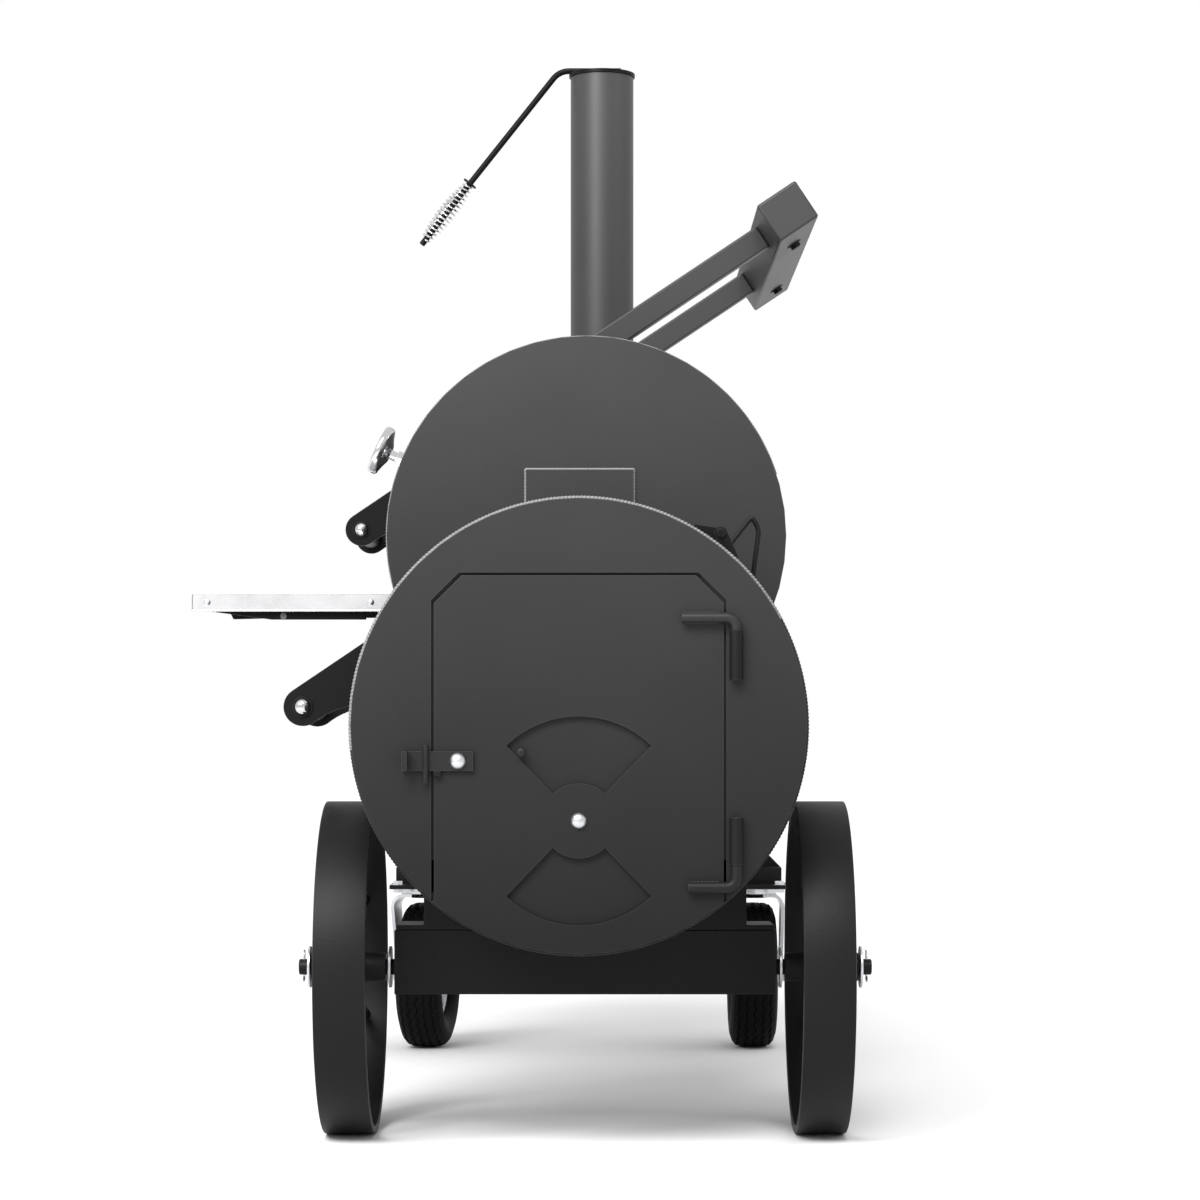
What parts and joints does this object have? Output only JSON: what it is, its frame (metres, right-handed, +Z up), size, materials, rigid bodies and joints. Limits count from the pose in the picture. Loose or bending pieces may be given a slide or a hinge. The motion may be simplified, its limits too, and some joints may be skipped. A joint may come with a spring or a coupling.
{
  "type": "offset smoker",
  "caption": "Offset smoker: round firebox and cook chamber with hinged lids, swing door, damper, stack with swing cap, fold-down shelf, steel wheels and casters.",
  "frame": {"origin": "middle of the object's box in X and Y, on the ground", "axes": "+Z up; -Y is the firebox door end, +X the counterweight side, -X the working side with the handles and shelf; +Y runs along the drums to the stack"},
  "size_m": [0.857, 1.5964, 1.5388],
  "materials": {
    "paint": "satin heat-resistant black paint with a fine orange-peel grain",
    "bare_steel": "seasoned bare steel bar",
    "stainless": "brushed stainless sheet and tube",
    "chrome": "bright chrome plate",
    "zinc": "bright zinc plate",
    "rubber": "black moulded rubber with a ribbed tread"
  },
  "bodies": {
    "smoker": {"firebox_shell": "paint", "cook_chamber_shell": "paint", "firebox_tie_plate": "paint", "cooking_grate_front": "bare_steel", "cooking_grate_rear": "bare_steel", "heat_deflector": "bare_steel", "fire_grate": "bare_steel", "grease_drain": "paint", "stack_elbow": "paint", "stack_pipe": "paint", "axle_beam": "paint", "firebox_saddle": "paint", "wheel_axle": "zinc", "rear_stand": "paint", "door_barrel_upper": "paint", "door_barrel_lower": "paint", "latch_rest": "paint", "firebox_lid_stop": "paint", "firebox_hinge_lug_front": "paint", "firebox_hinge_lug_rear": "paint", "chamber_hinge_lug_front": "paint", "chamber_hinge_lug_rear": "paint", "shelf_hinge_rail": "paint"},
    "chamber_lid": {"chamber_lid": "paint", "chamber_handle_bracket_front": "paint", "chamber_handle_bracket_rear": "paint", "chamber_handle_grip": "paint", "counterweight_arm_front": "paint", "counterweight_arm_rear": "paint", "counterweight_bar": "paint", "thermometer_coupling": "zinc", "thermometer_dial": "chrome", "chamber_hinge_strap_front": "paint", "chamber_hinge_strap_rear": "paint"},
    "firebox_lid": {"firebox_lid": "paint", "firebox_handle_bracket_front": "paint", "firebox_handle_bracket_rear": "paint", "firebox_handle_grip": "paint", "firebox_hinge_strap_front": "paint", "firebox_hinge_strap_rear": "paint"},
    "firebox_door": {"firebox_door": "paint", "door_pin_upper": "paint", "door_pin_lower": "paint"},
    "intake_damper": {"damper_blade": "paint", "damper_bolt": "zinc"},
    "door_latch": {"latch_bar": "paint", "latch_bolt": "zinc"},
    "stack_cap": {"stack_cap": "paint", "cap_handle_rod": "paint", "spring_grip": "chrome"},
    "side_shelf": {"shelf_tray": "stainless", "shelf_bracket": "paint"},
    "road_wheel_left": {"road_wheel_left": "paint"},
    "road_wheel_right": {"road_wheel_right": "paint"},
    "caster_fork_left": {"caster_fork_left": "zinc"},
    "caster_fork_right": {"caster_fork_right": "zinc"},
    "caster_wheel_left": {"caster_tyre_left": "rubber", "caster_hub_left": "zinc"},
    "caster_wheel_right": {"caster_tyre_right": "rubber", "caster_hub_right": "zinc"}
  },
  "joints": [
    {"name": "chamber_lid_hinge", "type": "hinge", "parent": "smoker", "child": "chamber_lid", "pos_m": [0.21326, 0.19085, 0.9684], "axis": [0, 1, 0], "range_deg": [0, 75]},
    {"name": "firebox_lid_hinge", "type": "hinge", "parent": "smoker", "child": "firebox_lid", "pos_m": [0.24034, -0.52015, 0.7026], "axis": [0, 1, 0], "range_deg": [0, 70]},
    {"name": "firebox_door_hinge", "type": "hinge", "parent": "smoker", "child": "firebox_door", "pos_m": [0.2565, -0.78195, 0.485], "axis": [0, 0, 1], "range_deg": [0, 160]},
    {"name": "door_latch_pivot", "type": "hinge", "parent": "firebox_door", "child": "door_latch", "pos_m": [-0.0547, -0.77715, 0.446], "axis": [0, 1, 0], "range_deg": [0, 80]},
    {"name": "intake_damper_pivot", "type": "hinge", "parent": "firebox_door", "child": "intake_damper", "pos_m": [0.0805, -0.76615, 0.379], "axis": [0, 1, 0], "range_deg": [0, 78]},
    {"name": "stack_cap_pivot", "type": "hinge", "parent": "smoker", "child": "stack_cap", "pos_m": [0.1475, 0.78185, 1.523], "axis": [0, 0, -1], "range_deg": [0, 90]},
    {"name": "shelf_fold", "type": "hinge", "parent": "smoker", "child": "side_shelf", "pos_m": [-0.1755, -0.03015, 0.65], "axis": [0, -1, 0], "range_deg": [0, 90]},
    {"name": "road_wheel_left_spin", "type": "hinge", "parent": "smoker", "child": "road_wheel_left", "pos_m": [-0.1925, -0.52815, 0.198], "axis": [1, 0, 0], "continuous": true},
    {"name": "road_wheel_right_spin", "type": "hinge", "parent": "smoker", "child": "road_wheel_right", "pos_m": [0.3655, -0.52815, 0.198], "axis": [1, 0, 0], "continuous": true},
    {"name": "caster_left_swivel", "type": "hinge", "parent": "smoker", "child": "caster_fork_left", "pos_m": [-0.1625, 0.49585, 0.24], "axis": [0, 0, 1], "continuous": true},
    {"name": "caster_right_swivel", "type": "hinge", "parent": "smoker", "child": "caster_fork_right", "pos_m": [0.3355, 0.49585, 0.24], "axis": [0, 0, 1], "continuous": true},
    {"name": "caster_left_roll", "type": "hinge", "parent": "caster_fork_left", "child": "caster_wheel_left", "pos_m": [-0.15884, 0.52563, 0.11], "axis": [0.9925, -0.1219, 0], "continuous": true},
    {"name": "caster_right_roll", "type": "hinge", "parent": "caster_fork_right", "child": "caster_wheel_right", "pos_m": [0.3355, 0.52585, 0.11], "axis": [1, 0, 0], "continuous": true}
  ]
}
